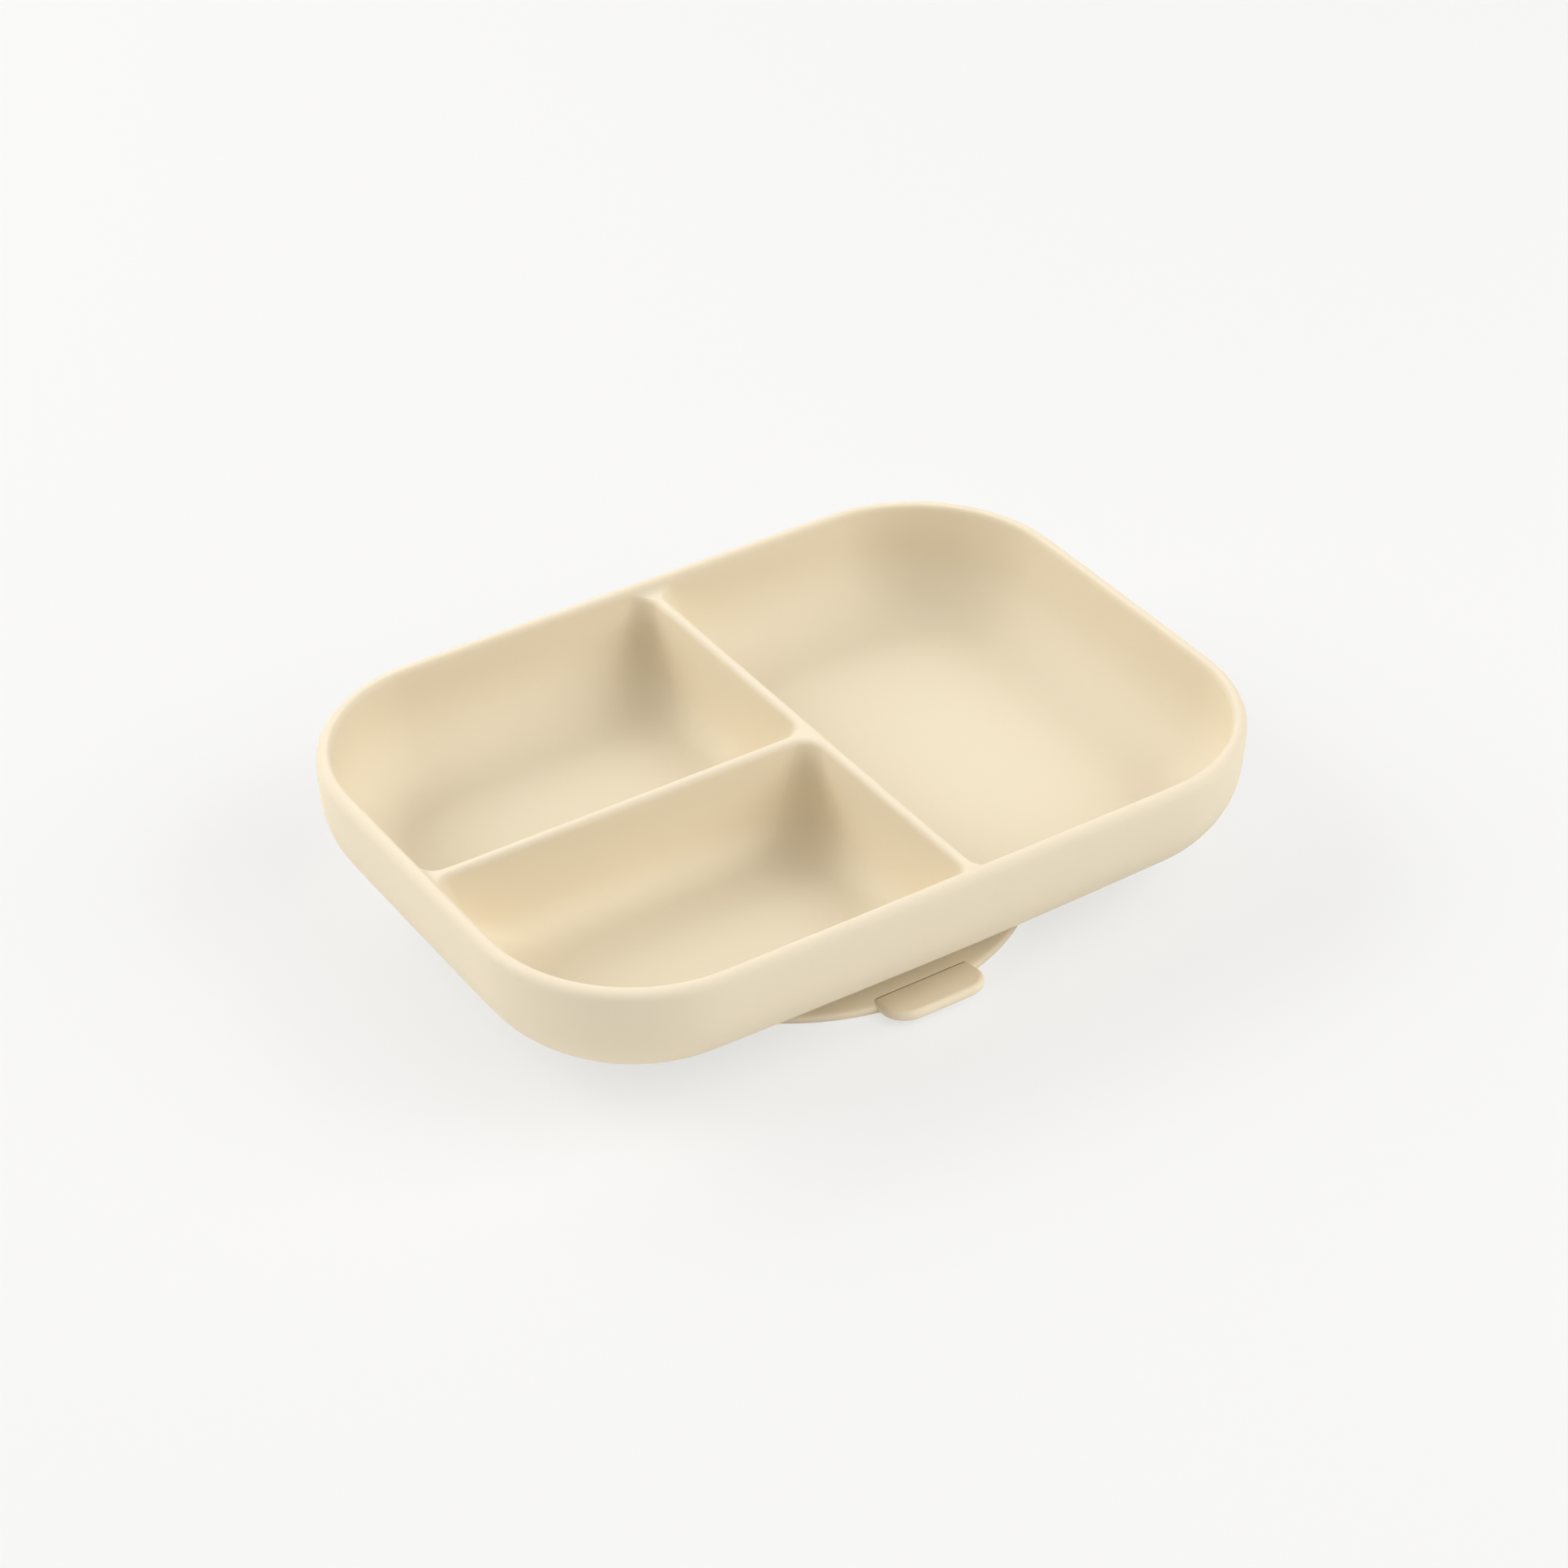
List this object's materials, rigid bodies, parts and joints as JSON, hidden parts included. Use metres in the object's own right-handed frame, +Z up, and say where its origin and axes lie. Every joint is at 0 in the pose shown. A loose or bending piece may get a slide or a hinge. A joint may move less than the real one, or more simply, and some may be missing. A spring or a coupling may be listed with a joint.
{
  "type": "silicone divided plate",
  "caption": "Soft silicone child's plate: a deep rounded rectangular tray with a T-shaped divider, a round suction foot and a pull tab, moulded in one piece.",
  "frame": {"origin": "centre of the bounding box at its bottom, on the table under the suction foot", "axes": "+Z up through the foot and tray; X along the tray's length, with the large compartment toward +X; the pull tab points toward -Y"},
  "size_m": [0.23, 0.1644, 0.0475],
  "materials": {
    "silicone": "matte, soft cream silicone"
  },
  "bodies": {
    "root": {"plate": "silicone"}
  },
  "joints": []
}
